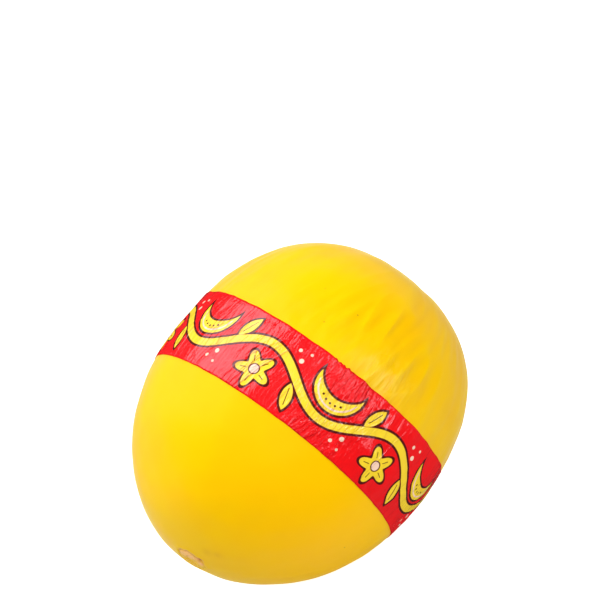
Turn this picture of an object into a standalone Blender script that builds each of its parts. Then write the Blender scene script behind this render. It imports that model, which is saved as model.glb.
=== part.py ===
"""Yellow melon lying on its side, with a printed film band shrunk on round its middle.

Metres, +Z up. The fruit's long axis runs along X: the cut stem is at +X, the blossom scar at -X.
The origin is on the surface that the fruit lies on, under the middle of the whole.

Every place on the rind has a polar angle, from the stem pole to the blossom pole, and a turn
round the long axis, counted from straight down towards +Y. Angles are in radians in the code.
"""

import math

import bmesh
import bpy
from mathutils import Vector

MM = 0.001

# Fruit: a superellipse turned round the long axis, in two unlike halves that meet at the girth
GIRTH_RADIUS = 71.0 * MM
STEM_HALF = 86.5 * MM
BLOSSOM_HALF = 84.0 * MM
STEM_FULLNESS = 2.45
BLOSSOM_FULLNESS = 1.95

# Flatter sides that keep the fruit from being truly round: polar angle, turn and height
FLATTER_SIDES = (
    (math.radians(90), math.radians(98), -1.4 * MM),
    (math.radians(31), math.radians(115), -1.3 * MM),
    (math.radians(149), math.radians(-65), -0.5 * MM),
    (math.radians(149), math.radians(82), -0.4 * MM),
)
SIDE_SPREAD = math.radians(28)

# Long shallow furrows, which deepen from the girth towards the stem
FURROW_HEIGHT = 0.3 * MM
FURROWS_WIDE = 11
FURROWS_NARROW = 17
FURROW_TWIST = 1.3
FURROW_START = math.radians(100)
FURROW_FULL = math.radians(55)

# Stem end: a dimple, with the stub of the stalk standing in it
DIMPLE_DEPTH = 4.5 * MM
DIMPLE_SPREAD = math.radians(8.5)
STUB_FOOT_RADIUS = 5.4 * MM
STUB_TOP_RADIUS = 4.4 * MM
STUB_LENGTH = 4.3 * MM
STUB_RIBS = 5
STUB_RIB_HEIGHT = 0.09
STUB_SEGMENTS = 40
STUB_EDGE = 0.5 * MM

# Blossom scar: a corky disc with a raised rim, a little off the pole
SCAR_POLAR = math.radians(172.8)
SCAR_TURN = math.radians(226)
SCAR_RADIUS = 7.2 * MM
SCAR_RIM_HEIGHT = 0.4 * MM
SCAR_RIM_WIDTH = 1.8 * MM
SCAR_DISH_DEPTH = 0.8 * MM
SCAR_DISH_WIDTH = 4.5 * MM

# Film band: its middle lies a little past the girth towards the stem, and drifts along the
# fruit by BAND_SKEW of the distance to the side
BAND_WIDTH = 38.4 * MM
BAND_OFFSET = 2.9 * MM
BAND_SKEW = -0.048
BAND_THICKNESS = 0.6 * MM

# The flat spot is where the fruit's weight presses the band against the surface
CLEARANCE = 0.3 * MM
FLAT_DEPTH = 1.1 * MM
BELLY_LEVEL = CLEARANCE + BAND_THICKNESS
AXIS_HEIGHT = GIRTH_RADIUS + BELLY_LEVEL - FLAT_DEPTH
AXIS_SIDE = -FLATTER_SIDES[0][2] / 2
AXIS_MIDDLE = (BLOSSOM_HALF - STEM_HALF) / 2
CENTRE = Vector((AXIS_MIDDLE, AXIS_SIDE, AXIS_HEIGHT))

# Finishes
RIND_COLOUR = (0.93, 0.66, 0.02)
RIND_ROUGHNESS = 0.42
FILM_COLOUR = (0.84, 0.03, 0.03)
FILM_ROUGHNESS = 0.25
STALK_COLOUR = (0.30, 0.19, 0.08)
STALK_ROUGHNESS = 0.85

# Mesh
MERIDIANS = 72
RINGS = 44
RING_CROWDING = 0.3
BAND_CORNERS = 9
POLAR_ROUNDS = 12
SMOOTH_BELOW = math.radians(40)


def direction(polar, turn):
    """Unit vector from the fruit's centre at a polar angle and a turn."""
    across = math.sin(polar)
    return Vector((math.cos(polar), across * math.sin(turn), -across * math.cos(turn)))


def smooth_step(value):
    """0 below 0, 1 above 1 and a smooth rise between."""
    value = min(max(value, 0.0), 1.0)
    return value * value * (3.0 - 2.0 * value)


def base_reach(polar):
    """Distance from the centre to the plain superellipse."""
    stem_side = polar < math.pi / 2
    half = STEM_HALF if stem_side else BLOSSOM_HALF
    fullness = STEM_FULLNESS if stem_side else BLOSSOM_FULLNESS
    along = abs(math.cos(polar) / half) ** fullness
    across = abs(math.sin(polar) / GIRTH_RADIUS) ** fullness
    return (along + across) ** (-1.0 / fullness)


def flatter_sides(towards):
    """Height of the broad flatter sides, each a soft bell round its own direction."""
    height = 0.0
    for polar, turn, rise in FLATTER_SIDES:
        nearness = towards.dot(direction(polar, turn)) - 1.0
        height += rise * math.exp(nearness / (1.0 - math.cos(SIDE_SPREAD)))
    return height


def furrows(polar, turn):
    """Height of the long furrows: two waves round the fruit that drift as they run along it."""
    strength = smooth_step((FURROW_START - polar) / (FURROW_START - FURROW_FULL)) * math.sin(polar)
    drift = FURROW_TWIST * math.cos(polar)
    wide = math.cos(FURROWS_WIDE * turn + drift)
    narrow = math.cos(FURROWS_NARROW * turn - drift)
    return FURROW_HEIGHT * strength * (wide + narrow) / 2.0


def stem_dimple(polar):
    """Depth of the dimple round the stem pole."""
    return -DIMPLE_DEPTH * math.exp(-((polar / DIMPLE_SPREAD) ** 2))


def blossom_scar(towards):
    """Height of the scar's raised rim and dished middle."""
    away = BLOSSOM_HALF * towards.angle(direction(SCAR_POLAR, SCAR_TURN), 0.0)
    rim = SCAR_RIM_HEIGHT * math.exp(-(((away - SCAR_RADIUS) / SCAR_RIM_WIDTH) ** 2))
    dish = SCAR_DISH_DEPTH * math.exp(-((away / SCAR_DISH_WIDTH) ** 2))
    return rim - dish


def rind_reach(polar, turn):
    """Distance from the fruit's centre to the rind."""
    towards = direction(polar, turn)
    reach = base_reach(polar) + flatter_sides(towards) + furrows(polar, turn)
    return reach + stem_dimple(polar) + blossom_scar(towards)


def rind_point(polar, turn, lift=0.0):
    """Point on the rind, or lift above it, flattened where the fruit lies on the surface."""
    radial = Vector((0.0, math.sin(turn), -math.cos(turn)))
    point = CENTRE + direction(polar, turn) * rind_reach(polar, turn) + radial * lift
    point.z = max(point.z, BELLY_LEVEL - lift)
    return point


def polar_at(along, turn):
    """Polar angle of the rind's point at a distance along the axis from the fruit's centre."""
    polar = math.pi / 2
    for _ in range(POLAR_ROUNDS):
        polar = math.acos(along / rind_reach(polar, turn))
    return polar


def turn_of(co):
    """Turn round the long axis of a vertex of a primitive whose own axis is Z."""
    return math.atan2(co.y, co.x) + math.pi / 2


def crowded_rings(polar):
    """Polar angle with the rings drawn towards both poles, where the relief is finest."""
    return polar - RING_CROWDING * math.sin(2.0 * polar)


def clear_scene():
    """Remove every object that the file already holds."""
    for thing in list(bpy.data.objects):
        bpy.data.objects.remove(thing, do_unlink=True)


def make_material(name, colour, roughness):
    """Plain Principled material."""
    material = bpy.data.materials.new(name)
    material.use_nodes = True
    shader = material.node_tree.nodes["Principled BSDF"]
    shader.inputs["Base Color"].default_value = (*colour, 1.0)
    shader.inputs["Roughness"].default_value = roughness
    shader.inputs["Metallic"].default_value = 0.0
    return material


def adopt(part, name, material, collection):
    """Name a reshaped primitive, turn its faces outwards, shade it smooth and file it."""
    part.name = name
    part.data.name = name
    bm = bmesh.new()
    bm.from_mesh(part.data)
    bmesh.ops.recalc_face_normals(bm, faces=bm.faces)
    bm.to_mesh(part.data)
    bm.free()
    part.data.shade_smooth()
    part.data.set_sharp_from_angle(angle=SMOOTH_BELOW)
    part.data.materials.append(material)
    for holder in list(part.users_collection):
        holder.objects.unlink(part)
    collection.objects.link(part)


def make_melon(collection):
    """Whole fruit: a sphere whose every vertex is moved out to the rind."""
    bpy.ops.mesh.primitive_uv_sphere_add(segments=MERIDIANS, ring_count=RINGS, radius=1.0)
    melon = bpy.context.object
    for vertex in melon.data.vertices:
        polar = crowded_rings(math.acos(min(max(vertex.co.z, -1.0), 1.0)))
        vertex.co = rind_point(polar, turn_of(vertex.co))
    adopt(melon, "melon", make_material("rind", RIND_COLOUR, RIND_ROUGHNESS), collection)


def band_corner(step):
    """Place across the band, from -1 to 1, and lift of one corner of its thin flat section."""
    across = 2.0 * (step % BAND_CORNERS) / (BAND_CORNERS - 1) - 1.0
    if step < BAND_CORNERS:
        return across, CLEARANCE
    return -across, CLEARANCE + BAND_THICKNESS


def make_label_band(collection):
    """Film band: a torus whose round section becomes a thin flat one that follows the rind."""
    corners = 2 * BAND_CORNERS
    bpy.ops.mesh.primitive_torus_add(
        major_segments=MERIDIANS, minor_segments=corners, major_radius=1.0, minor_radius=0.5
    )
    band = bpy.context.object
    for vertex in band.data.vertices:
        turn = turn_of(vertex.co)
        round_section = math.atan2(vertex.co.z, math.hypot(vertex.co.x, vertex.co.y) - 1.0)
        across, lift = band_corner(round(corners * round_section / (2.0 * math.pi)) % corners)
        middle = BAND_OFFSET + BAND_SKEW * GIRTH_RADIUS * math.sin(turn)
        polar = polar_at(middle + across * BAND_WIDTH / 2, turn)
        vertex.co = rind_point(polar, turn, lift)
    adopt(band, "label_band", make_material("film", FILM_COLOUR, FILM_ROUGHNESS), collection)


def stub_foot():
    """Distance from the fruit's centre at which the stub stands clear of the dimple all round."""
    widest = STUB_FOOT_RADIUS * (1.0 + STUB_RIB_HEIGHT)
    polar = math.asin(widest / STEM_HALF)
    turns = [2.0 * math.pi * step / MERIDIANS for step in range(MERIDIANS)]
    return max(rind_reach(polar, turn) for turn in turns) * math.cos(polar) + CLEARANCE


def make_stem_stub(collection):
    """Cut stub of the stalk: a short ribbed peg, wider at its foot, standing in the dimple."""
    bpy.ops.mesh.primitive_cone_add(
        vertices=STUB_SEGMENTS,
        radius1=STUB_FOOT_RADIUS,
        radius2=STUB_TOP_RADIUS,
        depth=STUB_LENGTH,
        location=CENTRE + Vector((stub_foot() + STUB_LENGTH / 2, 0.0, 0.0)),
        rotation=(0.0, math.radians(90), 0.0),
    )
    stub = bpy.context.object
    for vertex in stub.data.vertices:
        rib = 1.0 + STUB_RIB_HEIGHT * math.cos(STUB_RIBS * turn_of(vertex.co))
        vertex.co.x *= rib
        vertex.co.y *= rib
    adopt(stub, "stem_stub", make_material("stem", STALK_COLOUR, STALK_ROUGHNESS), collection)
    worn_edges = stub.modifiers.new("worn_edges", "BEVEL")
    worn_edges.width = STUB_EDGE
    worn_edges.segments = 2
    worn_edges.limit_method = "ANGLE"
    worn_edges.angle_limit = SMOOTH_BELOW


def main():
    clear_scene()
    collection = bpy.data.collections.new("melon_with_film_band")
    bpy.context.scene.collection.children.link(collection)
    make_melon(collection)
    make_label_band(collection)
    make_stem_stub(collection)


if __name__ == "__main__":
    main()
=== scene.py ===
"""Dresses a yellow melon with a printed film band: rind, film, stalk stub, and a plain studio stage."""

import math

import bpy
import numpy as np
from bpy.props import FloatProperty, FloatVectorProperty, PointerProperty
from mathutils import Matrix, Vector


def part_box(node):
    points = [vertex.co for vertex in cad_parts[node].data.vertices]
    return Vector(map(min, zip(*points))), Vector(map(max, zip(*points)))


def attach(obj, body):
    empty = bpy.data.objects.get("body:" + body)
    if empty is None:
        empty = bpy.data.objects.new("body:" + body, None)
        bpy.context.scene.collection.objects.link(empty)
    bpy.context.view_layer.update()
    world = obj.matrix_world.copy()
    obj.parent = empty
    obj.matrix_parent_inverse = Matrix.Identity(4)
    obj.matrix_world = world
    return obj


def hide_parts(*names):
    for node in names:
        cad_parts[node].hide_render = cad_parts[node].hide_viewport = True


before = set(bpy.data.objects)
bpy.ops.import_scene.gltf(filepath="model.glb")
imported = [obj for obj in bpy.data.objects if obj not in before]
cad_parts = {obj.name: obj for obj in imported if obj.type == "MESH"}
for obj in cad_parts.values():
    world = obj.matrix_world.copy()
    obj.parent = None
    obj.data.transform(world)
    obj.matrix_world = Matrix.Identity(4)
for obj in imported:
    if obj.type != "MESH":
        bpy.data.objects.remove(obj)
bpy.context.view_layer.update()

bl_info = {
    "name": "Banded Melon",
    "version": (1, 0, 0),
    "blender": (4, 5, 0),
    "location": "3D View > Sidebar > Melon",
    "description": "Makes a yellow melon with a printed film band and a small studio round it",
    "category": "Add Mesh",
}

MM = 0.001

# Width of the picture in pixels, and of the camera's sensor in millimetres
PIXELS = 600
SENSOR = 36.0

# The fruit's middle in the row frame
MIDDLE = Vector((-1.25 * MM, 0.7 * MM, 70.8 * MM))

# Radius at the widest girth, in millimetres
GIRTH = 71.0

# Flatter sides: polar angle from the stem pole, turn from straight down towards +Y, both in degrees,
# and height in millimetres
FLATTER_SIDES = ((90, 98, -1.4), (31, 115, -1.3), (149, -65, -0.5), (149, 82, -0.4))
SIDE_SPREAD = math.radians(28)

# Where the ridges of the rind stand strongest, beside the film
RIDGED_TURN = math.radians(208)
RIDGED_SPREAD = math.radians(36)

# Blossom scar: its place on the unit sphere round the fruit's middle, and the bearing round its own
# centre where the painted shadow of its rim is strongest
SCAR_POLAR = math.radians(172.8)
SCAR_TURN = math.radians(226)
SCAR_SHADOW_BEARING = math.radians(157)

# Marks on and beside the scar, in millimetres from its centre: sideways, upwards, and spread
SCAR_PIT = (-1.2, 6.9, 1.5)
SCAR_FLAP = (2.2, 5.8, 2.4)
SCAR_STAINS = ((-7.7, 15.6, 2.6), (-5.5, 20.5, 2.0), (3.0, -11.0, 3.0))

# Corky ring in the dimple, round the foot of the stalk
STEM_RING_RADIUS = 6.6 * MM
STEM_RING_SPREAD = 1.1 * MM

# Folded panels of the rind beside the film: turn of each crest and half width in degrees, and height
# in millimetres
PANEL_CRESTS = ((193, 5.5, 0.10), (205, 6.5, 0.34), (216.5, 5.5, 0.32), (227, 5, 0.22), (178, 6, 0.16))
PANEL_POLAR = math.radians(67)
PANEL_REACH = math.radians(17)

# Soft patches on the rind, each partly or wholly painted light: polar angle and its spread, turn and its
# spread
# Streaked patch beside the film: the rind's own streaks, partly painted highlight and shade of its fine
# ridges, and a glossier rind
STREAKED_PATCH = (math.radians(66), math.radians(8), math.radians(206), math.radians(11))
# Amber painted as shade on the stem half's side turned from the key light
AMBER_SHADE_PATCH = (math.radians(45), math.radians(30), math.radians(222), 0.6)
# Warmer, more orange tone painted as shade on the blossom half's side turned from the key light
SHADED_SIDE_PATCH = (math.radians(122), math.radians(38), math.radians(238), 1.1)

# Bundles of sharp creases in the film: count, middle turn and its spread in degrees, edge that they
# start from (-1 is the blossom side), mean slant, mean bend, and how much they darken the ink as painted fold
# shade and doubled film
CREASE_BUNDLES = (
    (28, 151, 8, -1.0, 0.045, 0.030, 1.0),
    (9, 143, 5, 1.0, -0.02, 0.010, 0.8),
    (8, 176, 7, 1.0, 0.01, 0.000, 0.5),
    (14, 199, 9, 1.0, 0.015, -0.010, 0.2),
    (10, 215, 9, 1.0, 0.030, 0.010, 0.2),
    (22, 262, 20, -1.0, -0.02, 0.010, 0.4),
    (30, 20, 60, 1.0, 0.00, 0.010, 0.4),
    (30, 95, 40, -1.0, 0.02, 0.000, 0.5),
)

# Softer folds in the film: how many, how many of them crowd round two turns, and those turns
FOLDS = 90
CROWDED_FOLDS = 36
CROWDED_FOLD_TURNS = (math.radians(156), math.radians(212))
CROWDED_FOLD_SPREAD = math.radians(17)

# The puckered stretch of the film's edge, and the step where the film's two ends overlap
PUCKER_TURN = math.radians(189.5)
PUCKER_SPREAD = math.radians(4.0)
SEAM_TURN = math.radians(335)
SEAM_SPREAD = math.radians(3.0)
SEAM_HEIGHT = 0.1 * MM

# Outline of the stalk stub: share of the way over it, radius and height in millimetres
STUB_OUTLINE = (
    (0.0, 0.0, -1.6),
    (0.12, 6.2, -0.9),
    (0.3, 5.0, 0.6),
    (0.5, 4.25, 2.2),
    (0.62, 4.5, 3.6),
    (0.7, 4.2, 3.95),
    (1.0, 0.0, 3.5),
)

# Grids: cells round the fruit and cells along it, and how much closer the rind's rings stand at its poles
RIND_GRID = (400, 240)
RING_CROWDING = 0.3
FILM_GRID = (1800, 40)
FILM_INNER_CELLS = 8
STUB_GRID = (120, 60)

# The turn where columns stand closest, and how much closer
CROWDED_TURN = math.radians(195)
TURN_CROWDING = 0.45

# Height of the rind over the floor where the fruit lies flat. The film lies between them
REST_LEVEL = 0.3 * MM

# Brightness of the plain backdrop behind the floor, and the share of the even light that gloss misses
BACKDROP = 0.9
GLOSS_LOSS = 0.6

# Three soft lights, like the panes of a window: azimuth, elevation, size and share of the power
PANES = (
    ("low_pane", 29, 23, (0.44, 0.10), 0.27),
    ("middle_pane", 39, 51, (0.44, 0.16), 0.57),
    ("high_pane", 74, 63, (0.20, 0.13), 0.16),
)

# The two stretches of the film with the most fine creases: the middle of each, how far from it they
# have faded out and how far they are full, in millimetres along the band
LEFT_STRETCH = (190.0, 38.0, 14.0)
RIGHT_STRETCH = (245.0, 26.0, 8.0)

# Print: lengths in millimetres on the film
PRINT_REPEATS = 6
VINE_SWING = 8.0
VINE_HALF_WIDTH = 1.9
OUTLINE_WIDTH = 1.15
RIB_HALF_WIDTH = 0.2
EDGE_BLUR = 0.12

# Leaves of the print: centre along and across the band and lean in degrees, then half of a leaf's
# length and width
UPPER_LEAF = (2.9, 9.0, 68)
LOWER_LEAF = (1.4, -9.0, -72)
LEAF_HALVES = (6.6, 2.6)

# Blossom of the print: how far it lies below the middle line, the petals' mean reach and how much it
# swings, and the radius of the heart
BLOSSOM_DROP = 6.9
PETAL_REACH = 7.1
PETAL_SWING = 2.3
HEART_RADIUS = 2.5

# Melon slice of the print: how far it lies above the middle line, the radius of its disc, the radius
# and rise of the disc cut from it, the radius of its pale line, and its row of seeds
SLICE_RISE = 9.4
SLICE_RADIUS = 12.4
CUT_RADIUS = 13.6
CUT_RISE = 8.2
PALE_RADIUS = 10.6
SEED_ROW_RADIUS = 8.5
SEED_RADIUS = 0.55
SEED_BEARINGS = (-126, -108, -90, -72, -54)

# Dots of the print: back along the band, across it, and radius
DOTS_BELOW = ((3.6, -8.4, 1.15), (7.4, -12.2, 0.9), (2.2, -13.6, 0.7))
DOTS_ABOVE = ((3.6, 8.4, 1.15), (7.2, 12.4, 0.9), (1.6, 13.4, 0.7))


def number(name, description, default, **options):
    """A number with a field in the sidebar."""
    return FloatProperty(name=name, description=description, default=default, **options)


def length(name, description, default):
    """A length in metres that the sidebar shows with its unit."""
    return number(name, description, default, unit="LENGTH", precision=5)


def colour(name, description, default):
    """A linear colour with a picker in the sidebar."""
    return FloatVectorProperty(
        name=name, description=description, default=default, subtype="COLOR", min=0.0, max=1.0
    )


def angle(name, description, default):
    """An angle, given in degrees, that the sidebar shows with its unit."""
    return number(name, description, math.radians(default), unit="ROTATION")


class MelonShape(bpy.types.PropertyGroup):
    """Sizes of the fruit and of the low relief on its rind."""

    girth_radius: length("Girth Radius", "Radius at the widest girth", GIRTH * MM)
    stem_half: length("Stem Half", "From the middle to the stem pole", 86.5 * MM)
    blossom_half: length("Blossom Half", "From the middle to the blossom pole", 83.85 * MM)
    stem_fullness: number("Stem Fullness", "Exponent of the stem half's superellipse", 2.45)
    blossom_fullness: number("Blossom Fullness", "Exponent of the blossom half's superellipse", 1.95)
    furrow_height: length("Furrow Height", "Height of the broad furrows", 0.3 * MM)
    ridge_height: length("Ridge Height", "Height of the ridges in the stem half", 0.36 * MM)
    dent_height: length("Dent Height", "Height of the soft dents all over", 0.13 * MM)
    dimple_depth: length("Dimple Depth", "Depth of the dimple at the stem", 4.5 * MM)
    dimple_spread: angle("Dimple Spread", "Half width of the dimple", 8.5)
    scar_radius: length("Scar Radius", "Radius of the corky blossom scar", 7.2 * MM)


class FilmShape(bpy.types.PropertyGroup):
    """Sizes of the film band."""

    width: length("Width", "Width of the band along the fruit", 38.4 * MM)
    offset: length("Offset", "From the girth to the band's middle line, towards the stem", 2.9 * MM)
    skew: number("Skew", "Drift along the fruit per length to the side", -0.048)
    lift: length("Lift", "Height of the smooth film's outer side over the rind", 0.26 * MM)
    underside: length("Underside", "Height of the film's inner side over the rind", 0.1 * MM)
    fold_height: length("Fold Height", "Height of the tallest folds", 0.3 * MM)
    crease_height: length("Crease Height", "Height of the sharpest creases", 0.24 * MM)


class MelonColours(bpy.types.PropertyGroup):
    """Colours of the rind, the scar, the stalk and the print."""

    rind: colour("Rind", "Ripe yellow", (0.85, 0.53, 0.0))
    # Amber: the rind's own blotches, and painted shade in the furrows, the ridges' valleys and the side
    # turned from the key light
    amber_and_shade: colour("Amber", "Deeper yellow of the blotches and furrows", (0.80, 0.40, 0.0))
    # Warm tone painted as shade on the side turned from the key light
    shaded_side_warm: colour("Warm", "Yellow of the ripest side", (1.0, 0.53, 0.0))
    # Pale: the rind's own light streaks, partly a painted highlight
    pale_and_highlight: colour("Pale", "Light streaks beside the film", (0.94, 0.66, 0.05))
    speck: colour("Speck", "Small specks all over", (0.35, 0.15, 0.01))
    stain: colour("Stain", "Tan stains beside the scar", (0.60, 0.25, 0.01))
    cork: colour("Cork", "Corky scar tissue", (0.98, 0.52, 0.28))
    cork_shadow: colour("Cork Shadow", "Dark lines and pit of the scar", (0.58, 0.17, 0.055))
    stalk: colour("Stalk", "Dry side of the stalk stub", (0.20, 0.115, 0.045))
    stalk_cut: colour("Stalk Cut", "Cut face of the stalk stub", (0.46, 0.31, 0.15))
    film_red: colour("Film Red", "Ground of the print", (0.90, 0.006, 0.008))
    print_yellow: colour("Print Yellow", "Fill of the vine and its motifs", (0.93, 0.66, 0.03))
    print_outline: colour("Print Outline", "Dark line round the motifs", (0.085, 0.008, 0.006))
    print_cream: colour("Print Cream", "Small details of the print", (0.95, 0.66, 0.50))


class StudioSettings(bpy.types.PropertyGroup):
    """Camera and lights."""

    azimuth: angle("Azimuth", "Camera's place round the fruit", -49.9)
    elevation: angle("Elevation", "Camera's height over the floor", 77.0)
    distance: length("Distance", "From the camera to the fruit's middle", 1.8)
    metres_per_pixel: number("Metres per Pixel", "Scale of the picture at the fruit", 0.4715 * MM)
    fruit_column: number("Fruit Column", "Picture column of the fruit's middle", 292.4)
    fruit_row: number("Fruit Row", "Picture row of the fruit's middle", 419.8)
    key_power: number("Key", "Power of the large soft light", 11.0, unit="POWER")
    panes_power: number("Panes", "Power of the three panes", 2.6, unit="POWER")
    top_power: number("Top", "Power of the broad light overhead", 26.0, unit="POWER")
    ambient: number("Ambient", "Strength of the even light all round", 0.12)
    glow: number("Glow", "Light that the floor itself gives off", 0.6)


def smooth_step(low, high, value):
    """0 below low, 1 above high and 3t^2 - 2t^3 between, where t is the share of the way."""
    share = np.clip((value - low) / (high - low), 0.0, 1.0)
    return share * share * (3.0 - 2.0 * share)


def bell(offset, spread):
    """1 at no offset, falling as exp(-(offset / spread)^2)."""
    return np.exp(-((offset / spread) ** 2))


def around(turn):
    """The same turn between -pi and pi."""
    return (turn + np.pi) % (2.0 * np.pi) - np.pi


def towards(polar, turn):
    """Unit vectors: cos(polar) along X, and sin(polar) across it at the turn from straight down."""
    across = np.sin(polar)
    along = np.cos(polar) + np.zeros_like(turn)
    return np.stack((along, across * np.sin(turn), -across * np.cos(turn)), axis=-1)


def ripples(polar, turn, waves_round, waves_along, count, seed):
    """Random field of spread 1: a sum of cosines, each with a whole number of waves round the fruit,
    some waves along it, and a random phase."""
    draw = np.random.default_rng(seed)
    field = np.zeros(np.broadcast(polar, turn).shape)
    for _ in range(count):
        round_waves = draw.integers(waves_round[0], waves_round[1] + 1)
        along_waves = draw.uniform(-waves_along, waves_along)
        field += np.cos(round_waves * turn + along_waves * polar + draw.uniform(0.0, 2.0 * np.pi))
    return field * math.sqrt(2.0 / count)


def dents(outward, girth_radius, sizes, count, seed):
    """Random field of spread 1 that looks alike in every direction: a sum of plane cosines read on
    the sphere, each with a random direction and phase and a wavelength between the two sizes."""
    draw = np.random.default_rng(seed)
    field = np.zeros(outward.shape[:-1])
    for _ in range(count):
        heading = draw.normal(size=3)
        heading /= np.linalg.norm(heading)
        wave = 2.0 * np.pi * girth_radius / draw.uniform(*sizes)
        field += np.cos(wave * (outward @ heading) + draw.uniform(0.0, 2.0 * np.pi))
    return field * math.sqrt(2.0 / count)


def smooth_reach(shape, polar, turn):
    """Distance from the middle to the smooth fruit: a superellipse turned round X, in two halves of
    unlike length and fullness, less a soft bell for each flatter side."""
    stem_side = polar < np.pi / 2
    half = np.where(stem_side, shape.stem_half, shape.blossom_half)
    fullness = np.where(stem_side, shape.stem_fullness, shape.blossom_fullness)
    along = np.abs(np.cos(polar) / half) ** fullness
    across = np.abs(np.sin(polar) / shape.girth_radius) ** fullness
    reach = (along + across) ** (-1.0 / fullness) + np.zeros_like(turn)
    outward = towards(polar, turn)
    for side_polar, side_turn, rise in FLATTER_SIDES:
        facing = outward @ towards(*np.radians((side_polar, side_turn))) - 1.0
        reach = reach + rise * MM * np.exp(facing / (1.0 - math.cos(SIDE_SPREAD)))
    return reach


def furrows(shape, polar, turn):
    """Broad furrows: two waves round the fruit, 11 and 17, which drift along it and fade to the girth."""
    strength = smooth_step(math.radians(100), math.radians(55), polar) * np.sin(polar)
    drift = 1.3 * np.cos(polar)
    return shape.furrow_height * strength * (np.cos(11 * turn + drift) + np.cos(17 * turn - drift)) / 2.0


def ridges(shape, polar, turn):
    """Ridges along the stem half: the folded absolute value of a random field plus a finer field, both
    drawn out along the fruit, strongest beside the film and on one side."""
    folded = 0.8 - np.abs(ripples(polar, turn, (10, 24), 15.0, 18, seed=11))
    fine = ripples(polar, turn, (30, 56), 22.0, 18, seed=13)
    broad = ripples(polar, turn, (2, 9), 4.0, 8, seed=12)
    beside_film = smooth_step(math.radians(92), math.radians(72), polar)
    fading = smooth_step(math.radians(14), math.radians(60), polar)
    side = 0.3 + 0.7 * bell(around(turn - RIDGED_TURN), RIDGED_SPREAD) + 0.15 * broad
    return shape.ridge_height * (folded + 0.35 * fine) * beside_film * fading * side


def panels(polar, turn):
    """Flat panels that meet in crests and valleys along the stem half: beside each crest the height
    falls evenly, as height * (1 - offset / half width), with its corners a little rounded."""
    height = np.zeros(np.broadcast(polar, turn).shape)
    for crest, half_width, tall in PANEL_CRESTS:
        half_width = math.radians(half_width)
        leaning = math.radians(crest) + 0.10 * (PANEL_POLAR - polar)
        offset = np.sqrt(around(turn - leaning) ** 2 + (0.12 * half_width) ** 2) / half_width
        height = height + tall * MM * np.log1p(np.exp(9.0 * (1.0 - offset))) / 9.0
    return height * bell(polar - PANEL_POLAR, PANEL_REACH)


def scar_face(shape, polar, turn):
    """Places on the scar's face: sideways, upwards and away from its centre, the bearing round it,
    and how far its edge lies at that bearing, its radius times 1 plus four small waves."""
    centre = towards(np.float64(SCAR_POLAR), np.float64(SCAR_TURN))
    level = np.array((0.0, math.cos(SCAR_TURN), math.sin(SCAR_TURN)))
    outward = towards(polar, turn)
    near = outward @ centre > 0.0
    sideways = shape.blossom_half * np.where(near, outward @ level, 1.0)
    upwards = shape.blossom_half * np.where(near, outward @ np.cross(centre, level), 1.0)
    bearing = np.arctan2(upwards, sideways)
    uneven = 0.06 * np.cos(2 * bearing + 0.8) + 0.035 * np.cos(3 * bearing + 2.0)
    uneven = uneven + 0.035 * np.cos(7 * bearing + 0.4) + 0.03 * np.cos(13 * bearing + 1.1)
    return sideways, upwards, np.hypot(sideways, upwards), bearing, shape.scar_radius * (1.0 + uneven)


def cracks(bearing, away):
    """Eleven waves round the scar, which wind a little on the way out, from -1 to 1."""
    return np.cos(11 * bearing + 700.0 * away)


def mark(sideways, upwards, place):
    """Round soft mark near the scar: a bell of the distance from its place, given in millimetres."""
    mark_sideways, mark_upwards, spread = (value * MM for value in place)
    return bell(np.hypot(sideways - mark_sideways, upwards - mark_upwards), spread)


def scar_relief(shape, polar, turn):
    """Blossom scar: a low rim round it, a shallow moat at its edge, a raised corky ring inside, a
    dished middle with a small nipple, cracks and a pit at the edge, all as bells of the distance from
    the centre."""
    sideways, upwards, away, bearing, edge = scar_face(shape, polar, turn)
    rim = 0.35 * MM * bell(away - edge - 1.0 * MM, 1.9 * MM)
    moat = 0.35 * MM * bell(away - edge, 0.8 * MM)
    ring = 0.35 * MM * bell(away - 0.66 * edge, 1.4 * MM)
    middle = 0.8 * MM * bell(away, 3.6 * MM) - 0.5 * MM * bell(away, 1.1 * MM)
    cracked = 0.12 * MM * cracks(bearing, away) * bell(away - 0.6 * edge, 2.2 * MM)
    return rim - moat + ring - middle + cracked - 0.9 * MM * mark(sideways, upwards, SCAR_PIT)


def scar_shares(shape, polar, turn):
    """Shares of cork, of dark lines in it and of stain: cork inside the scar's edge, most on the side at the
    shadow bearing and on the flap, and in a ring round the stalk's foot; painted shadow lines at the edge and
    at
    0.4 of the way to it, strongest on that side, and a dark pit; stain as soft marks."""
    sideways, upwards, away, bearing, edge = scar_face(shape, polar, turn)
    shadow_side = (0.5 + 0.5 * np.cos(bearing - SCAR_SHADOW_BEARING)) ** 2
    inside = smooth_step(edge + 0.7 * MM, edge - 1.3 * MM, away)
    cracked = (0.40 + 0.50 * shadow_side) * (0.86 + 0.14 * cracks(bearing, away))
    cork = inside * np.maximum(cracked, mark(sideways, upwards, SCAR_FLAP))
    stem_ring = bell(polar * shape.stem_half - STEM_RING_RADIUS, STEM_RING_SPREAD)
    cork = np.maximum(cork, stem_ring * (0.5 + 0.12 * ripples(polar, turn, (2, 9), 0.0, 8, seed=23)))
    edge_shadow_line = (0.2 + 0.65 * shadow_side) * bell(away - edge, 0.5 * MM)
    inner_shadow_line = 0.6 * shadow_side * bell(away - 0.4 * edge, 0.5 * MM)
    lines = np.maximum(np.maximum(edge_shadow_line, inner_shadow_line), mark(sideways, upwards, SCAR_PIT))
    stain = sum(mark(sideways, upwards, place) for place in SCAR_STAINS)
    return cork, np.clip(lines, 0.0, 1.0), stain


def patch(polar, turn, place, floor=0.0):
    """Soft patch: a bell of the polar angle times the sum of a floor and a bell of the turn."""
    return bell(polar - place[0], place[1]) * (floor + bell(around(turn - place[2]), place[3]))


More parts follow.
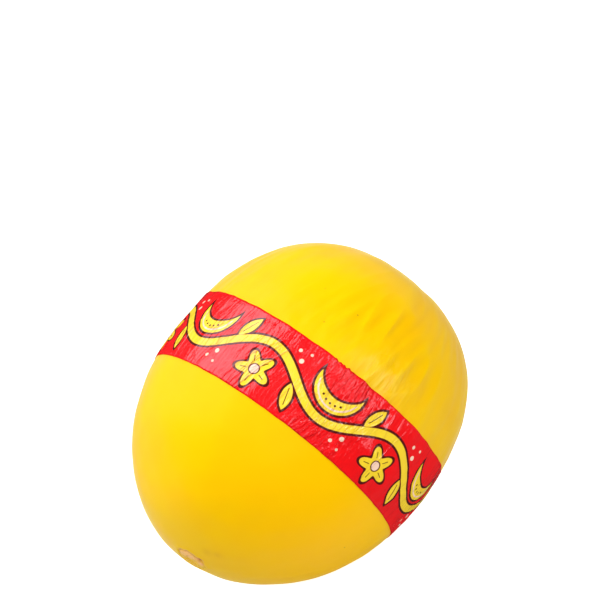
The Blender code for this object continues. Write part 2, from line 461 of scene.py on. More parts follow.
def rind_reach(shape, polar, turn):
    """Distance from the middle to the rind: the smooth fruit plus furrows, ridges, panels, dents of two
    sizes, the stem dimple as a bell of the polar angle, and the blossom scar."""
    outward = towards(polar, turn)
    large = dents(outward, shape.girth_radius, (24 * MM, 46 * MM), 26, seed=21)
    small = dents(outward, shape.girth_radius, (8 * MM, 15 * MM), 40, seed=22)
    dimple = shape.dimple_depth * bell(polar, shape.dimple_spread)
    return (
        smooth_reach(shape, polar, turn)
        + furrows(shape, polar, turn)
        + ridges(shape, polar, turn)
        + panels(polar, turn)
        + shape.dent_height * (large + 0.35 * small)
        - dimple
        + scar_relief(shape, polar, turn)
    )


def rind_points(shape, polar, turn, lift=0.0):
    """Points on the rind, or lift above it: middle + direction * reach, then raised away from the
    long axis, and pressed flat where the fruit lies on the floor."""
    radial = np.stack((np.zeros_like(turn), np.sin(turn), -np.cos(turn)), axis=-1)
    reach = rind_reach(shape, polar, turn)
    lift = np.broadcast_to(lift, reach.shape)
    points = np.array(MIDDLE) + towards(polar, turn) * reach[..., None] + radial * lift[..., None]
    points[..., 2] = np.maximum(points[..., 2], np.maximum(REST_LEVEL - lift, 0.0))
    return points


def polar_at(shape, along, turn):
    """Polar angle of the smooth fruit's point at a distance along the axis: twelve rounds of
    polar = arccos(along / reach)."""
    polar = np.full(np.broadcast(along, turn).shape, np.pi / 2)
    for _ in range(12):
        polar = np.arccos(along / smooth_reach(shape, polar, turn))
    return polar


def crowded_turns(columns):
    """Turns of a grid's columns: even steps s, drawn together as s - crowding * sin(s - crowded turn)."""
    even = np.linspace(0.0, 2.0 * np.pi, columns, endpoint=False)[None, :]
    return even - TURN_CROWDING * np.sin(even - CROWDED_TURN)


def grid_faces(rows, columns):
    """Four-cornered faces between rows of points that close round on themselves."""
    row = np.arange(rows - 1)[:, None] * columns
    here = np.arange(columns)[None, :]
    after = (here + 1) % columns
    return np.stack((row + here, row + after, row + columns + after, row + columns + here), -1).reshape(-1, 4)


def pole_faces(pole, first, columns, outward_first):
    """Triangles from one pole point to the row that starts at a given point."""
    here = first + np.arange(columns)
    after = first + (np.arange(columns) + 1) % columns
    corners = (here, after) if outward_first else (after, here)
    return np.stack((np.full(columns, pole), *corners), -1)


def make_mesh(name, points, faces):
    """Mesh from an array of points and a list of face arrays, shaded smooth."""
    mesh = bpy.data.meshes.new(name)
    mesh.vertices.add(len(points))
    mesh.vertices.foreach_set("co", points.astype(np.float32).ravel())
    corners = np.concatenate([group.ravel() for group in faces])
    sizes = np.concatenate([np.full(len(group), group.shape[1]) for group in faces])
    mesh.loops.add(len(corners))
    mesh.loops.foreach_set("vertex_index", corners.astype(np.int32))
    mesh.polygons.add(len(sizes))
    mesh.polygons.foreach_set("loop_start", (np.cumsum(sizes) - sizes).astype(np.int32))
    mesh.polygons.foreach_set("use_smooth", np.ones(len(sizes), bool))
    mesh.update(calc_edges=True)
    mesh.validate()
    return mesh


def closed_surface(name, rows):
    """Closed mesh from rows of points, first and last row being single pole points."""
    body = rows[1:-1]
    count, columns = body.shape[:2]
    points = np.concatenate((rows[:1, 0], body.reshape(-1, 3), rows[-1:, 0]))
    last_row = 1 + (count - 1) * columns
    faces = [
        pole_faces(0, 1, columns, outward_first=False),
        grid_faces(count, columns)[:, ::-1] + 1,
        pole_faces(len(points) - 1, last_row, columns, outward_first=True),
    ]
    return make_mesh(name, points, faces)


def pole_values(values):
    """Values of a grid's rows in the order of closed_surface's points."""
    return np.concatenate((values[:1, 0], values[1:-1].ravel(), values[-1:, 0]))


def add_values(mesh, name, values):
    """Number at every point of a mesh, which a material can read by name."""
    layer = mesh.attributes.new(name, "FLOAT", "POINT")
    layer.data.foreach_set("value", values.astype(np.float32).ravel())


def add_piece(mesh, node, material):
    """Put a finished mesh in the scene at the origin, in place of its CAD node."""
    piece = bpy.data.objects.new(mesh.name, mesh)
    bpy.context.scene.collection.objects.link(piece)
    piece.data.materials.append(material)
    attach(piece, "root")
    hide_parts(node)


class Field:
    """A value that varies over a surface. Arithmetic on it adds the Math nodes that work it out."""

    def __init__(self, writer, socket):
        self.writer = writer
        self.socket = socket

    def __add__(self, other):
        return self.writer.math("ADD", self, other)

    def __sub__(self, other):
        return self.writer.math("SUBTRACT", self, other)

    def __rsub__(self, other):
        return self.writer.math("SUBTRACT", other, self)

    def __mul__(self, other):
        return self.writer.math("MULTIPLY", self, other)

    def __truediv__(self, other):
        return self.writer.math("DIVIDE", self, other)

    def __abs__(self):
        return self.writer.math("ABSOLUTE", self)


class NodeWriter:
    """Adds shader nodes to one tree and wires them."""

    def __init__(self, tree):
        self.tree = tree

    def node(self, kind, **settings):
        node = self.tree.nodes.new(kind)
        for setting, value in settings.items():
            setattr(node, setting, value)
        return node

    def feed(self, socket, value):
        """Link a field or a socket, or set a constant. A colour of three parts becomes opaque."""
        if isinstance(value, Field):
            value = value.socket
        if isinstance(value, bpy.types.NodeSocket):
            self.tree.links.new(value, socket)
        elif socket.type == "RGBA" and len(value) == 3:
            socket.default_value = (*value, 1.0)
        else:
            socket.default_value = value

    def feed_all(self, node, values):
        for name, value in values.items():
            self.feed(node.inputs[name], value)

    def math(self, operation, *values):
        node = self.node("ShaderNodeMath", operation=operation)
        for socket, value in zip(node.inputs, values):
            self.feed(socket, value)
        return Field(self, node.outputs[0])

    def least(self, *fields):
        found = fields[0]
        for field in fields[1:]:
            found = self.math("MINIMUM", found, field)
        return found

    def fade(self, value, start, end):
        """0 at start and 1 at end, smooth between."""
        node = self.node("ShaderNodeMapRange", interpolation_type="SMOOTHSTEP")
        for socket, given in zip(node.inputs, (value, start, end, 0.0, 1.0)):
            self.feed(socket, given)
        return Field(self, node.outputs[0])

    def mix(self, share, first, second):
        """Colour between two colours."""
        node = self.node("ShaderNodeMix", data_type="RGBA")
        colours = [socket for socket in node.inputs if socket.type == "RGBA"]
        self.feed(node.inputs[0], share)
        self.feed(colours[0], first)
        self.feed(colours[1], second)
        return [socket for socket in node.outputs if socket.type == "RGBA"][0]

    def noise(self, vector, scale, detail, roughness=0.5):
        node = self.node("ShaderNodeTexNoise")
        self.feed_all(node, {"Vector": vector, "Scale": scale, "Detail": detail, "Roughness": roughness})
        return Field(self, node.outputs[0])

    def vector(self, x, y, z):
        node = self.node("ShaderNodeCombineXYZ")
        for socket, value in zip(node.inputs, (x, y, z)):
            self.feed(socket, value)
        return node.outputs[0]

    def attribute(self, name):
        return Field(self, self.node("ShaderNodeAttribute", attribute_name=name).outputs["Fac"])

    def place(self):
        """Object coordinates, in metres."""
        return self.node("ShaderNodeTexCoord").outputs["Object"]

    def bump(self, height, distance, strength=1.0, under=None):
        node = self.node("ShaderNodeBump")
        self.feed_all(node, {"Height": height, "Distance": distance, "Strength": strength})
        if under is not None:
            self.feed(node.inputs["Normal"], under)
        return node.outputs["Normal"]

    def group(self, tree, **values):
        node = self.node("ShaderNodeGroup", node_tree=tree)
        self.feed_all(node, {name.replace("_", " ").title(): value for name, value in values.items()})
        return node


def shade(share, colour_value):
    """A colour darkened to a share of itself."""
    return tuple(share * part for part in colour_value)


def new_group(name, inputs, outputs, vectors=()):
    """Empty shader node group whose sockets are numbers, after any vectors that it is given: the tree,
    its writer, its inputs and its outputs."""
    tree = bpy.data.node_groups.new(name, "ShaderNodeTree")
    for label in vectors:
        tree.interface.new_socket(label, in_out="INPUT", socket_type="NodeSocketVector")
    for label in inputs:
        tree.interface.new_socket(label, in_out="INPUT", socket_type="NodeSocketFloat")
    for label in outputs:
        tree.interface.new_socket(label, in_out="OUTPUT", socket_type="NodeSocketFloat")
    writer = NodeWriter(tree)
    given = writer.node("NodeGroupInput").outputs
    return tree, writer, given, writer.node("NodeGroupOutput").inputs


def grain_group():
    """Fine grain for every finish: patches, and a height made of two sizes of noise."""
    tree, writer, given, wanted = new_group(
        "fine_grain", ("Patch Scale", "Grain Scale"), ("Patches", "Height"), vectors=("Place",)
    )
    patches = writer.noise(given["Place"], given["Patch Scale"], detail=2.0)
    grain = writer.noise(given["Place"], given["Grain Scale"], detail=4.0, roughness=0.6)
    writer.feed(wanted["Patches"], writer.fade(patches, 0.35, 0.65))
    writer.feed(wanted["Height"], grain * 0.7 + patches * 0.3)
    return tree


def hypotenuse(writer, x, y):
    """Square root of x^2 + y^2."""
    return writer.math("SQRT", x * x + y * y)


def leaf_shapes(writer, x, y, place):
    """Distances to a pointed leaf, two equal arcs back to back, and to its middle rib."""
    centre_x, centre_y, lean = place
    half_length, half_width = LEAF_HALVES
    arc_radius = (half_length**2 + half_width**2) / (2.0 * half_width)
    lengthwise, sideways = math.cos(math.radians(lean)), math.sin(math.radians(lean))
    along = (x - centre_x) * lengthwise + (y - centre_y) * sideways
    across = abs((y - centre_y) * lengthwise - (x - centre_x) * sideways)
    leaf = hypotenuse(writer, along, across + (arc_radius - half_width)) - arc_radius
    rib = writer.math("MAXIMUM", across - RIB_HALF_WIDTH, abs(along) - 0.62 * half_length)
    return leaf, rib


def blossom_shapes(writer, x, y):
    """Distances to a five-petalled blossom, its round heart and the line down each petal."""
    bearing = writer.math("ARCTAN2", y, x) + math.radians(90)
    away = hypotenuse(writer, x, y)
    petals = (away - PETAL_REACH - writer.math("COSINE", bearing * 5.0) * PETAL_SWING) * 0.75
    to_line = abs(writer.math("SINE", bearing * 2.5)) * away * 0.4
    lines = writer.math("MAXIMUM", to_line - RIB_HALF_WIDTH, abs(away - 5.4) - 1.5)
    return petals, away - HEART_RADIUS, lines


def slice_shapes(writer, x, y):
    """Distances to a melon slice, one disc less another, to the pale line inside its skin and to a
    row of seeds."""
    away = hypotenuse(writer, x, y)
    cut = CUT_RADIUS - hypotenuse(writer, x, y - CUT_RISE)
    melon_slice = writer.math("MAXIMUM", away - SLICE_RADIUS, cut)
    pale_line = writer.math("MAXIMUM", abs(away - PALE_RADIUS) - 0.4, melon_slice + 1.0)
    seeds = []
    for bearing in SEED_BEARINGS:
        seed_x = SEED_ROW_RADIUS * math.cos(math.radians(bearing))
        seed_y = SEED_ROW_RADIUS * math.sin(math.radians(bearing))
        seeds.append(hypotenuse(writer, x - seed_x, y - seed_y) - SEED_RADIUS)
    return melon_slice, pale_line, writer.least(*seeds)


def print_group():
    """Print of the film: a running vine with pointed leaves, a blossom in the hollow under each crest
    and a melon slice in the hollow over each trough. Shapes are distances in millimetres, which are
    below 0 inside."""
    tree, writer, given, wanted = new_group(
        "film_print", ("Along", "Across"), ("Yellow", "Outline", "Cream")
    )
    period = 2.0 * math.pi * GIRTH / PRINT_REPEATS
    wave = 2.0 * math.pi / period
    crest = period / 4.0
    across = Field(writer, given["Across"])
    along = (writer.math("FRACT", Field(writer, given["Along"]) / period) - 0.5) * period
    wrapped = (writer.math("FRACT", (along + period / 2.0) / period + 0.5) - 0.5) * period

    swing = writer.math("SINE", along * wave) * VINE_SWING
    slope = writer.math("COSINE", along * wave) * (VINE_SWING * wave)
    vine = abs(across - swing) / writer.math("SQRT", slope * slope + 1.0) - VINE_HALF_WIDTH

    petals, heart, petal_lines = blossom_shapes(writer, along - crest, across + BLOSSOM_DROP)
    melon_slice, pale_line, seeds = slice_shapes(writer, along + crest, across - SLICE_RISE)
    upper_leaf, upper_rib = leaf_shapes(writer, along, across, UPPER_LEAF)
    lower_leaf, lower_rib = leaf_shapes(writer, wrapped, across, LOWER_LEAF)
    yellow = writer.least(vine, petals, melon_slice, upper_leaf, lower_leaf)

    dots = [
        hypotenuse(writer, place + back, across - y) - radius
        for place, row in ((along, DOTS_BELOW), (wrapped, DOTS_ABOVE))
        for back, y, radius in row
    ]
    ring = abs(heart) - 0.3
    outline = writer.least(
        abs(yellow - OUTLINE_WIDTH / 2) - OUTLINE_WIDTH / 2, ring, petal_lines, seeds, upper_rib, lower_rib
    )
    cream = writer.least(heart, pale_line, *dots)
    for name, distance in (("Yellow", yellow), ("Outline", outline), ("Cream", cream)):
        writer.feed(wanted[name], writer.fade(distance, EDGE_BLUR, -EDGE_BLUR))
    return tree


def crease_group():
    """Height of the fine creases in the film, thin lines where a stretched noise crosses its middle
    value, strongest in both stretches of the band, and of a softer rumple, strongest in the right one.
    Lengths in millimetres."""
    tree, writer, given, wanted = new_group("film_creases", ("Along", "Across"), ("Creases", "Rumple"))
    along, across = Field(writer, given["Along"]), Field(writer, given["Across"])

    def stretched(run, waves_across, layer, detail=0.0):
        return writer.noise(writer.vector(run, across * waves_across, layer), 1.0, detail=detail)

    bend = stretched(along * 0.05, 0.06, 0.0) * 2.2
    lines = stretched(along * 0.2 + bend, 0.03, 1.0)
    finer = stretched(along * 0.42 + bend, 0.05, 9.0)
    rumple = stretched(along * 0.45 + bend, 0.16, 5.0, detail=2.0)
    patches = writer.fade(stretched(along * 0.04, 0.05, 3.0, detail=1.0), 0.4, 0.6)
    left, right = (
        writer.fade(abs(along - middle), faded, full)
        for middle, faded, full in (LEFT_STRETCH, RIGHT_STRETCH)
    )
    strength = writer.math("MAXIMUM", left, right) * 0.7 + patches * 0.3
    sharp = writer.fade(abs(lines - 0.5), 0.02, 0.0) + writer.fade(abs(finer - 0.5), 0.025, 0.0) * 0.6
    writer.feed(wanted["Creases"], sharp * strength)
    writer.feed(wanted["Rumple"], rumple * (right + left * 0.12 + patches * 0.25))
    return tree


def new_material(name):
    """Material with its Principled BSDF and a writer for its nodes."""
    material = bpy.data.materials.new(name)
    material.use_nodes = True
    return material, NodeWriter(material.node_tree), material.node_tree.nodes["Principled BSDF"]


def rind_material(colours, grain_tree):
    """Waxy rind: yellow with amber blotches, amber painted as shade in the furrows, the ridges' valleys and
    the side turned from the key light, a warmer tone painted as shade on the blossom half's shaded side, pale
    and amber streaks beside the film that are partly painted highlight and shade, small specks, tan stains
    and corky scars with painted shadow lines.
    """
    material, writer, shader = new_material("melon_rind")
    place = writer.place()
    grain = writer.group(grain_tree, place=place, patch_scale=34.0, grain_scale=900.0)
    blotches = Field(writer, grain.outputs["Patches"])

    specks = writer.node("ShaderNodeTexVoronoi", feature="F1")
    writer.feed_all(specks, {"Vector": place, "Scale": 95.0})
    speck = writer.fade(specks.outputs["Distance"], 0.055, 0.025)
    chosen = writer.fade(writer.noise(place, 60.0, detail=0.0), 0.55, 0.6)

    stretch = writer.node("ShaderNodeMapping")
    writer.feed_all(stretch, {"Vector": place, "Scale": (70.0, 620.0, 620.0)})
    streaks = writer.noise(stretch.outputs[0], 1.0, detail=1.0)
    streaked_area = writer.attribute("streaks")
    # Streaks beside the film: partly the rind's own, partly painted highlight and shade of its fine ridges
    pale_streak_and_highlight = writer.fade(streaks, 0.5, 0.62) * streaked_area
    dark_streak_and_shade = writer.fade(streaks, 0.46, 0.36) * streaked_area

    # Side turned from the key light: a warmer tone painted there as shade, and less sheen
    shaded_side = writer.attribute("shaded_side")
    # Amber from the blotches, and amber painted as shade from the amber_and_shade attribute
    skin = writer.mix(blotches * 0.22 + writer.attribute("amber_and_shade") * 0.3, colours.rind, colours.amber_and_shade)
    skin = writer.mix(shaded_side * 0.8, skin, colours.shaded_side_warm)
    skin = writer.mix(pale_streak_and_highlight * 0.3, skin, colours.pale_and_highlight)
    skin = writer.mix(dark_streak_and_shade * 0.3, skin, colours.amber_and_shade)
    skin = writer.mix(writer.attribute("stain") * 0.2, skin, colours.stain)
    skin = writer.mix(speck * chosen * 0.55, skin, colours.speck)
    corky = writer.noise(place, 800.0, detail=3.0)
    ragged = writer.fade(writer.attribute("cork") + (corky - 0.5) * 0.9, 0.2, 0.75)
    cork_tone = writer.mix(writer.fade(corky, 0.5, 0.7) * 0.25, colours.cork, colours.cork_shadow)
    skin = writer.mix(ragged * 0.65, skin, cork_tone)
    # Painted shadow lines of the scar's rim, and its dark pit
    skin = writer.mix(writer.attribute("scar_shadow_and_pit"), skin, colours.cork_shadow)

    streaked = writer.bump(streaks * streaked_area, 0.6 * MM)
    cracked = writer.bump(corky * ragged, 0.5 * MM, under=streaked)
    settings = {
        "Base Color": skin,
        "Roughness": blotches * 0.08 + ragged * 0.4 - streaked_area * 0.06 + 0.3,
        "Normal": writer.bump(Field(writer, grain.outputs["Height"]), 0.05 * MM, 0.6, under=cracked),
        "Specular IOR Level": streaked_area * 0.32 + 0.08,
        "Specular Tint": (1.0, 0.97, 0.85),
        "Sheen Weight": writer.math("MAXIMUM", 0.34 - shaded_side * 0.42, 0.0),
        "Sheen Roughness": 0.3,
        "Sheen Tint": (1.0, 0.9, 0.66),
        "Subsurface Weight": 0.12,
        "Subsurface Radius": (1.0, 0.55, 0.1),
        "Subsurface Scale": 2.5 * MM,
    }
    writer.feed_all(shader, settings)
    return material


def film_material(colours, grain_tree):
    """Glossy printed plastic film, read from the band's own map."""
    material, writer, shader = new_material("printed_film")
    band_map = writer.node("ShaderNodeUVMap", uv_map="band_map")
    parts = writer.node("ShaderNodeSeparateXYZ")
    writer.feed(parts.inputs[0], band_map.outputs["UV"])
    along = Field(writer, parts.outputs["X"]) * 1000.0
    across = Field(writer, parts.outputs["Y"]) * 1000.0
    masks = writer.group(print_group(), along=along, across=across).outputs
    grain = writer.group(grain_tree, place=writer.place(), patch_scale=60.0, grain_scale=700.0)
    patches = Field(writer, grain.outputs["Patches"])

    ink = writer.mix(patches * 0.5, colours.film_red, shade(0.86, colours.film_red))
    ink = writer.mix(masks["Yellow"], ink, colours.print_yellow)
    ink = writer.mix(masks["Cream"], ink, colours.print_cream)
    ink = writer.mix(masks["Outline"], ink, colours.print_outline)
    folds = writer.group(crease_group(), along=along, across=across).outputs
    creases = Field(writer, folds["Creases"])
    # Darker red in the creases: partly doubled film, partly painted shade of the folds
    fold_darkening = creases * 0.3 + writer.attribute("fold_shade_and_doubling") * 0.6
    rumpled = writer.bump(Field(writer, folds["Rumple"]), 1.6 * MM)
    settings = {
        "Base Color": writer.mix(fold_darkening, ink, shade(0.35, colours.film_red)),
        "Roughness": patches * 0.04 + 0.11,
        "Normal": writer.bump(creases, 0.1 * MM, under=rumpled),
        "Specular IOR Level": 0.75,
        "Specular Tint": (1.0, 0.88, 1.0),
    }
    writer.feed_all(shader, settings)
    return material


def stalk_material(colours, grain_tree):
    """Dry fibrous stalk with a paler cut face."""
    material, writer, shader = new_material("dry_stalk")
    grain = writer.group(grain_tree, place=writer.place(), patch_scale=420.0, grain_scale=2400.0)
    height = Field(writer, grain.outputs["Height"])
    patches = Field(writer, grain.outputs["Patches"])
    dark = shade(0.45, colours.stalk)
    bark = writer.mix(patches, colours.stalk, dark)
    face = writer.mix(patches * 0.35, colours.stalk_cut, colours.stalk)
    wood = writer.mix(writer.attribute("cut"), bark, face)
    settings = {
        "Base Color": writer.mix(writer.attribute("ring") * 0.45, wood, dark),
        "Roughness": height * 0.2 + 0.7,
        "Normal": writer.bump(height, 0.25 * MM, 0.8),
    }
    writer.feed_all(shader, settings)
    return material


def floor_material(glow):
    """Plain pale matt floor, lit a little from within so that it stays pale far from the lights."""
    material, writer, shader = new_material("pale_floor")
    settings = {
        "Base Color": (0.89, 0.9, 0.91),
        "Emission Color": (1.0, 1.0, 1.0),
        "Emission Strength": glow,
        "Roughness": 0.9,
        "Specular IOR Level": 0.1,
    }
    writer.feed_all(shader, settings)
    return material


def shared_grain():
    """The one fine_grain group, made the first time it is asked for."""
    return bpy.data.node_groups.get("fine_grain") or grain_group()


class MELON_OT_rind(bpy.types.Operator):
    """Make the whole fruit's rind: a grid of polar angles and turns, with each point at its reach from
    the fruit's middle"""

    bl_idname = "melon.rind"
    bl_label = "Rind"

    def execute(self, context):
        shape = context.scene.melon_shape
        columns, rows = RIND_GRID
        ring = np.linspace(0.0, np.pi, rows + 1)[:, None]
        polar = ring - RING_CROWDING * np.sin(2.0 * ring)
        turn = crowded_turns(columns)
        mesh = closed_surface("rind", rind_points(shape, polar, turn))

        # Valleys of the ridges and furrows, where amber is painted as shade, and the amber patch painted as
        # shade on the side turned from the key light
        low = -ridges(shape, polar, turn) / shape.ridge_height
        low = low - furrows(shape, polar, turn) / shape.furrow_height
        cork, scar_shadow_and_pit, stain = scar_shares(shape, polar, turn)
        shares = {
            "amber_and_shade": np.clip(0.5 * low + 0.1 + 0.9 * patch(polar, turn, AMBER_SHADE_PATCH), 0.0, 1.0),
            "cork": cork,
            "scar_shadow_and_pit": scar_shadow_and_pit,
            "stain": stain,
            "streaks": patch(polar, turn, STREAKED_PATCH, floor=0.12),
            "shaded_side": patch(polar, turn, SHADED_SIDE_PATCH),
        }
        for name, share in shares.items():
            add_values(mesh, name, pole_values(share))
        add_piece(mesh, "melon", rind_material(context.scene.melon_colours, shared_grain()))
        return {"FINISHED"}


def film_folds(film, turn, across):
    """Height of the film's folds: bells of the turn that run slanted and bent across the band. Broad
    ones reach from edge to edge, the others fade in from one edge."""
    draw = np.random.default_rng(31)
    height = np.zeros(np.broadcast(turn, across).shape)
    for fold in range(FOLDS):
        if fold < CROWDED_FOLDS:
            centre = draw.normal(CROWDED_FOLD_TURNS[fold % 2], CROWDED_FOLD_SPREAD)
        else:
            centre = draw.uniform(0.0, 2.0 * np.pi)
        width = draw.uniform(1.0, 2.4) / GIRTH
        slant = draw.normal(0.02, 0.06)
        bend = draw.normal(0.0, 0.03)
        tall = film.fold_height * draw.uniform(0.12, 1.0) ** 1.5
        edge = draw.choice((-1.0, 1.0))
        inner_end = draw.uniform(-1.2, 0.85)
        if fold % 3:
            run = smooth_step(inner_end, 1.0, edge * across)
        else:
            run = bell(across, draw.uniform(0.5, 1.4))
        offset = around(turn - centre - slant * across - bend * across**2)
        height = height + tall * run * bell(offset, width)
    return film.fold_height * np.tanh(height / film.fold_height)


def film_creases(film, turn, across):
    """Height of the film's sharp creases, and how much each point's ink is darkened by one, as painted shade
    of
    the fold and doubled film: narrow bells of the turn, most of them raised and some sunk, that start at one
    edge of the band, bend as they go and fade out before they reach the other."""
    draw = np.random.default_rng(36)
    height = np.zeros(np.broadcast(turn, across).shape)
    trace = np.zeros_like(height)
    for count, middle, spread, edge, mean_slant, mean_bend, darkening in CREASE_BUNDLES:
        for _ in range(count):
            centre = draw.normal(math.radians(middle), math.radians(spread))
            width = draw.uniform(0.28, 0.46) / GIRTH
            slant = draw.normal(mean_slant, 0.02)
            bend = draw.normal(mean_bend, 0.015)
            tall = draw.uniform(0.4, 1.0) * draw.choice((-0.6, 1.0, 1.0))
            inner_end = draw.uniform(-0.9, 0.7)
            from_edge = 1.0 - edge * across
            run = smooth_step(inner_end - 0.35, inner_end + 0.15, edge * across)
            sway = 0.002 * np.sin(9.0 * across + 20.0 * centre)
            path = centre + slant * from_edge + bend * from_edge**2 + sway
            crease = run * bell(around(turn - path), width)
            height = height + tall * crease
            trace = np.maximum(trace, darkening * abs(tall) * crease)
    return film.crease_height * 1.2 * np.tanh(height / 1.2), trace


def film_section(film, turn, across, folds):
    """Place along the fruit: the skewed middle line plus a share of the width, drawn in a little at
    the edges where folds take up the film."""
    middle = film.offset + film.skew * GIRTH * MM * np.sin(turn)
    broad = 1.0 + ripples(np.float64(1.0), turn, (12, 60), 0.0, 12, seed=33)
    narrow = 1.0 + ripples(np.float64(1.0), turn, (110, 190), 0.0, 8, seed=34)
    pucker = bell(around(turn - PUCKER_TURN), PUCKER_SPREAD) * smooth_step(0.7, 1.0, across)
    pull = 0.25 * folds + 0.04 * MM * broad + 0.25 * MM * pucker * narrow
    return middle + across * (film.width / 2.0) - np.sign(across) * np.abs(across) ** 6 * pull


class MELON_OT_film_band(bpy.types.Operator):
    """Make the printed film band: one grid over the rind for its outer side and one for its inner side,
    joined along both edges"""

    bl_idname = "melon.film_band"
    bl_label = "Film Band"

    def execute(self, context):
        shape = context.scene.melon_shape
        film = context.scene.melon_film
        columns, cells = FILM_GRID
        turn = crowded_turns(columns)
        across = np.linspace(-1.0, 1.0, cells + 1)[:, None]
        folds = film_folds(film, turn, across)
        fine = 0.014 * MM * ripples(across, turn, (90, 260), 3.0, 24, seed=32)
        seam = SEAM_HEIGHT * bell(around(turn - SEAM_TURN), SEAM_SPREAD) ** 0.25
        creases, trace = film_creases(film, turn, across)
        outer = film.lift + folds + creases + fine + seam
        polar = polar_at(shape, film_section(film, turn, across, folds), turn)
        outside = rind_points(shape, polar, turn, outer)

        inner_across = np.linspace(1.0, -1.0, FILM_INNER_CELLS + 1)[:, None]
        inner_folds = film_folds(film, turn, inner_across)
        inner_polar = polar_at(shape, film_section(film, turn, inner_across, inner_folds), turn)
        inside = rind_points(shape, inner_polar, turn, film.underside)
        rows = np.concatenate((outside, inside))
        faces = grid_faces(len(rows) + 1, columns) % (len(rows) * columns)
        mesh = make_mesh("film_band", rows.reshape(-1, 3), [faces])
        # Share of painted fold shade and doubled film along the creases
        add_values(mesh, "fold_shade_and_doubling", np.concatenate((trace, np.zeros(inside.shape[:2]))))

        u = np.append(turn, turn[:, :1] + 2.0 * np.pi) * GIRTH * MM
        v = np.concatenate((across, inner_across, across[:1]))[:, 0] * film.width / 2.0
        here, below = np.meshgrid(u[:-1], v[:-1])
        after, above = np.meshgrid(u[1:], v[1:])
        corners = np.stack((here, below, after, below, after, above, here, above), -1)
        layer = mesh.uv_layers.new(name="band_map")
        layer.data.foreach_set("uv", corners.astype(np.float32).ravel())
        add_piece(mesh, "label_band", film_material(context.scene.melon_colours, shared_grain()))
        return {"FINISHED"}


class MELON_OT_stalk_stub(bpy.types.Operator):
    """Make the cut stub of the stalk: its outline turned round X, with the radius times 1 plus three
    sets of ribs on the side and the height plus fine fibres"""

    bl_idname = "melon.stalk_stub"
    bl_label = "Stalk Stub"

    def execute(self, context):
        low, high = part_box("stem_stub")
        columns, rows = STUB_GRID
        share = np.linspace(0.0, 1.0, rows + 1)[:, None]
        bearing = np.linspace(0.0, 2.0 * np.pi, columns, endpoint=False)[None, :]
        knots, radii, heights = np.transpose(STUB_OUTLINE)
        radius = np.interp(share, knots, radii) * MM
        height = np.interp(share, knots, heights) * MM
        side = smooth_step(0.05, 0.2, share) * smooth_step(0.75, 0.6, share)
        ribs = 0.045 * np.cos(5 * bearing + 0.6) + 0.035 * np.cos(3 * bearing + 2.0)
        ribs = ribs + 0.025 * np.cos(17 * bearing + 9.0 * share)
        radius = radius * (1.0 + side * ribs)
        fibres = 0.12 * MM * ripples(share, bearing, (3, 14), 30.0, 14, seed=41) * np.sin(np.pi * share)
        height = np.minimum(height + fibres, high.x - low.x - 0.02 * MM)
        y = (low.y + high.y) / 2 + radius * np.sin(bearing)
        z = (low.z + high.z) / 2 - radius * np.cos(bearing)
        points = np.stack((low.x + height, y, z), axis=-1)
        points[0] = points[0].mean(axis=0)
        points[-1] = points[-1].mean(axis=0)
        mesh = closed_surface("stalk_stub", points[::-1])
        cut = smooth_step(0.66, 0.72, share) + np.zeros_like(bearing)
        bundles = 0.6 + 0.4 * np.cos(10 * bearing + 1.0)
        ring = bell(share - 0.84, 0.035) * bundles + 0.8 * bell(share - 0.67, 0.02)
        add_values(mesh, "cut", pole_values(cut[::-1]))
        add_values(mesh, "ring", pole_values(np.clip(ring, 0.0, 1.0)[::-1]))
        add_piece(mesh, "stem_stub", stalk_material(context.scene.melon_colours, shared_grain()))
        return {"FINISHED"}


def direction_to(azimuth, elevation):
    """Unit vector towards a place in the studio: azimuth 0 is at -Y and 90 degrees at +X."""
    level = math.cos(elevation)
    return Vector((math.sin(azimuth) * level, -math.cos(azimuth) * level, math.sin(elevation)))


def add_softbox(name, azimuth, elevation, distance, size, power, mirrored=True):
    """Rectangular light that faces the fruit's middle. Angles in degrees, lengths in metres. A light
    that isn't mirrored brightens surfaces without showing in their gloss."""
    light = bpy.data.lights.new(name, "AREA")
    light.shape = "RECTANGLE"
    light.size, light.size_y = size
    light.energy = power
    softbox = bpy.data.objects.new(name, light)
    bpy.context.scene.collection.objects.link(softbox)
    towards_light = direction_to(math.radians(azimuth), math.radians(elevation))
    softbox.location = MIDDLE + towards_light * distance
    softbox.rotation_euler = towards_light.to_track_quat("Z", "Y").to_euler()
    softbox.visible_glossy = mirrored


def add_camera(studio):
    """Camera at the picture's angle, aimed so that the fruit's middle falls on its own pixel."""
    focal_pixels = studio.distance / studio.metres_per_pixel
    camera_data = bpy.data.cameras.new("picture_camera")
    camera_data.sensor_width = SENSOR
    camera_data.lens = focal_pixels * SENSOR / PIXELS
    camera_data.clip_start = 0.1
    camera_data.clip_end = 30.0
    camera = bpy.data.objects.new("picture_camera", camera_data)
    bpy.context.scene.collection.objects.link(camera)
    camera.location = MIDDLE + direction_to(studio.azimuth, studio.elevation) * studio.distance
    aim = MIDDLE.copy()
    for _ in range(8):
        facing = (aim - camera.location).to_track_quat("-Z", "Y")
        seen = facing.inverted() @ (MIDDLE - camera.location)
        column = PIXELS / 2 + focal_pixels * seen.x / -seen.z
        row = PIXELS / 2 - focal_pixels * seen.y / -seen.z
        miss = Vector((column - studio.fruit_column, studio.fruit_row - row, 0.0))
        aim = aim + facing @ (miss * studio.metres_per_pixel)
    camera.rotation_euler = (aim - camera.location).to_track_quat("-Z", "Y").to_euler()
    bpy.context.scene.camera = camera


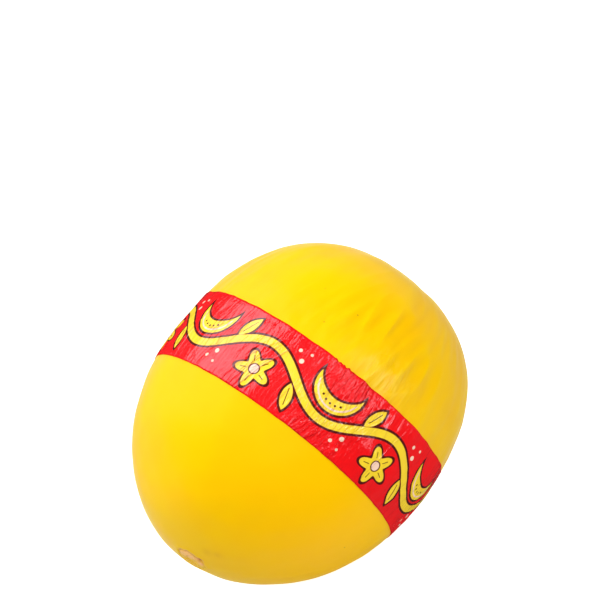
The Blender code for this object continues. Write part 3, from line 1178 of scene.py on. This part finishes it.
class MELON_OT_studio(bpy.types.Operator):
    """Make the floor, the lights and the camera"""

    bl_idname = "melon.studio"
    bl_label = "Studio"

    def execute(self, context):
        studio = context.scene.melon_studio
        reach = 4.0
        corners = np.array(((-reach, -reach, 0), (reach, -reach, 0), (reach, reach, 0), (-reach, reach, 0)))
        mesh = make_mesh("floor", corners, [np.array(((0, 1, 2, 3),))])
        mesh.materials.append(floor_material(studio.glow))
        floor = bpy.data.objects.new("floor", mesh)
        context.scene.collection.objects.link(floor)
        floor.visible_glossy = False

        world = context.scene.world or bpy.data.worlds.new("studio_air")
        context.scene.world = world
        world.use_nodes = True
        writer = NodeWriter(world.node_tree)
        path = writer.node("ShaderNodeLightPath").outputs
        seen = Field(writer, path["Is Camera Ray"])
        mirrored = Field(writer, path["Is Glossy Ray"])
        ambient = studio.ambient
        strength = seen * (BACKDROP - ambient) - mirrored * (GLOSS_LOSS * ambient) + ambient
        air = world.node_tree.nodes["Background"]
        writer.feed_all(air, {"Color": (1.0, 1.0, 1.0), "Strength": strength})

        add_softbox("key", 181, 26, 1.1, (1.2, 1.1), studio.key_power)
        for name, azimuth, elevation, size, share in PANES:
            add_softbox(name, azimuth, elevation, 1.1, size, share * studio.panes_power)
        add_softbox("top", 0, 90, 1.5, (1.8, 1.8), studio.top_power, mirrored=False)
        add_camera(studio)
        context.scene.view_settings.view_transform = "Standard"
        return {"FINISHED"}


class MELON_PT_sidebar(bpy.types.Panel):
    """Sidebar panel that lists the melon's pieces, sizes and colours"""

    bl_label = "Banded Melon"
    bl_idname = "MELON_PT_sidebar"
    bl_space_type = "VIEW_3D"
    bl_region_type = "UI"
    bl_category = "Melon"

    def draw(self, context):
        for operator in PIECES:
            self.layout.operator(operator.bl_idname)
        for group in SETTINGS:
            box = self.layout.box()
            settings = getattr(context.scene, group)
            for name in settings.bl_rna.properties.keys():
                if name not in {"rna_type", "name"}:
                    box.prop(settings, name)


PIECES = (MELON_OT_rind, MELON_OT_film_band, MELON_OT_stalk_stub, MELON_OT_studio)
SETTINGS = {
    "melon_shape": MelonShape,
    "melon_film": FilmShape,
    "melon_colours": MelonColours,
    "melon_studio": StudioSettings,
}
CLASSES = (*SETTINGS.values(), *PIECES, MELON_PT_sidebar)


def register():
    for each in CLASSES:
        bpy.utils.register_class(each)
    for name, group in SETTINGS.items():
        setattr(bpy.types.Scene, name, PointerProperty(type=group))


def unregister():
    for name in SETTINGS:
        delattr(bpy.types.Scene, name)
    for each in reversed(CLASSES):
        bpy.utils.unregister_class(each)


def main():
    register()
    bpy.ops.melon.rind()
    bpy.ops.melon.film_band()
    bpy.ops.melon.stalk_stub()
    bpy.ops.melon.studio()


if __name__ == "__main__":
    main()
